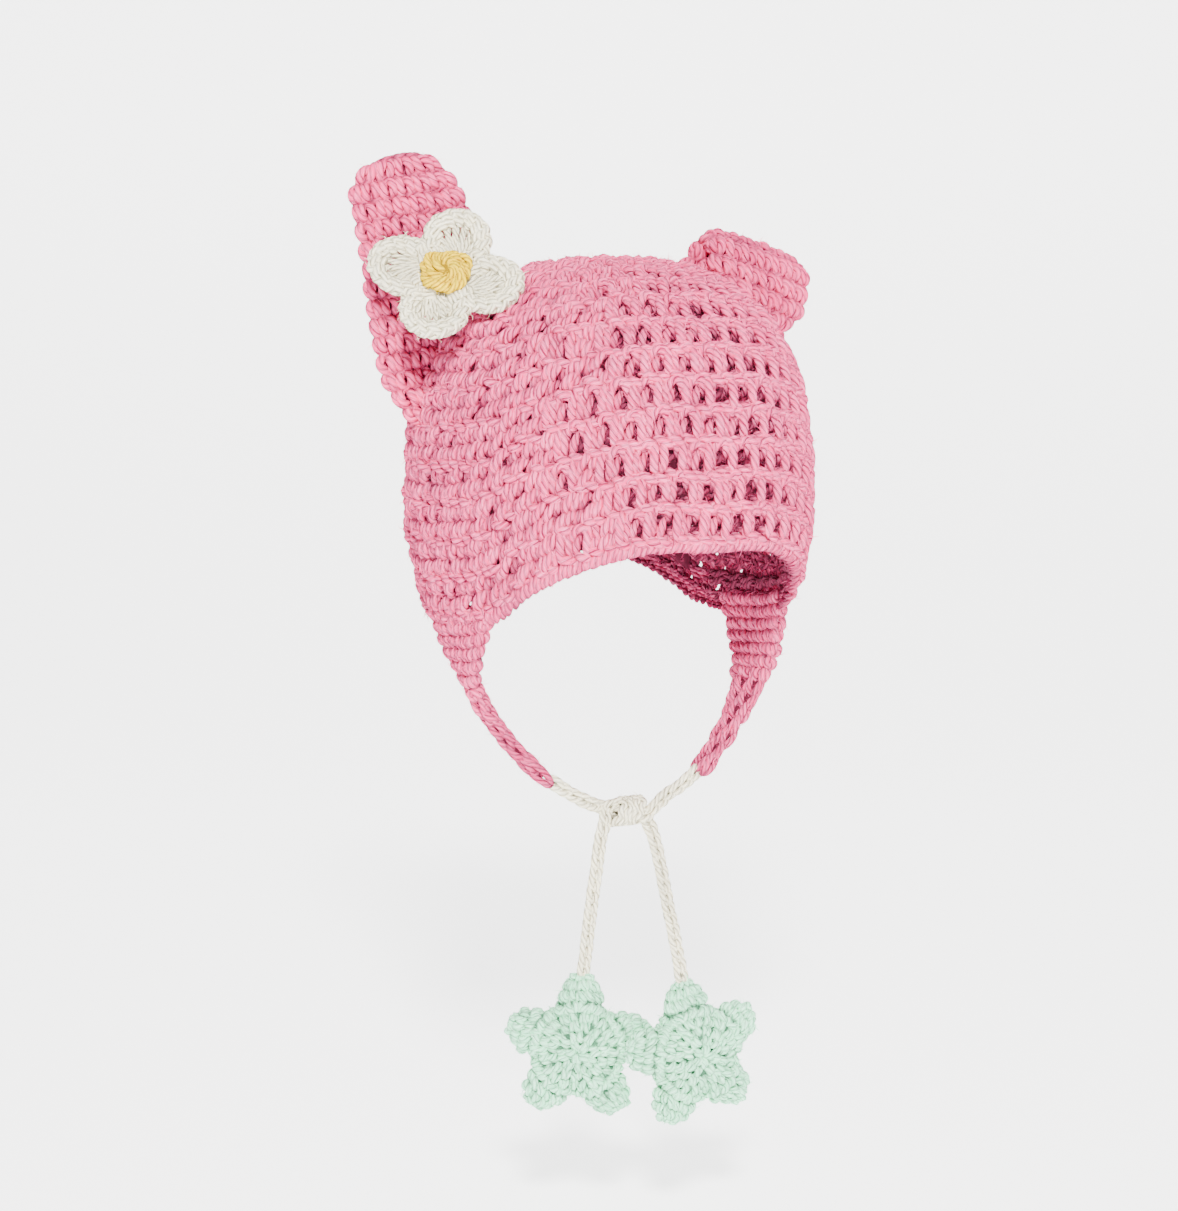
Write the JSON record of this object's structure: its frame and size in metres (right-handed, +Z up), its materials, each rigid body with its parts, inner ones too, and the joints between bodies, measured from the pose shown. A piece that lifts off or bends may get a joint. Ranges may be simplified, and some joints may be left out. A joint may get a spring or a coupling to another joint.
{
  "type": "baby hat with ears",
  "caption": "Crocheted baby hat with upright and folded ears, a flower, earflaps, and a chin tie cord with stars on its ends.",
  "frame": {"origin": "middle of the head opening, 8 mm below the crown's widest round", "axes": "+Z up through the crown's apex, -Y towards the hat's front, +X towards the folded ear"},
  "size_m": [0.185, 0.178, 0.3653],
  "materials": {
    "pink_yarn": "matte",
    "ear_yarn": "matte",
    "white_yarn": "matte",
    "yellow_yarn": "matte",
    "mint_yarn": "matte"
  },
  "bodies": {
    "root": {"crown": "pink_yarn", "left_earflap": "pink_yarn", "right_earflap": "pink_yarn", "upright_ear": "ear_yarn", "folded_ear": "ear_yarn", "flower_petals": "white_yarn", "flower_middle": "yellow_yarn", "left_chin_cord": "white_yarn", "right_chin_cord": "white_yarn", "chin_knot": "white_yarn", "left_drop_cord": "white_yarn", "right_drop_cord": "white_yarn", "left_star": "mint_yarn", "right_star": "mint_yarn"}
  },
  "joints": []
}
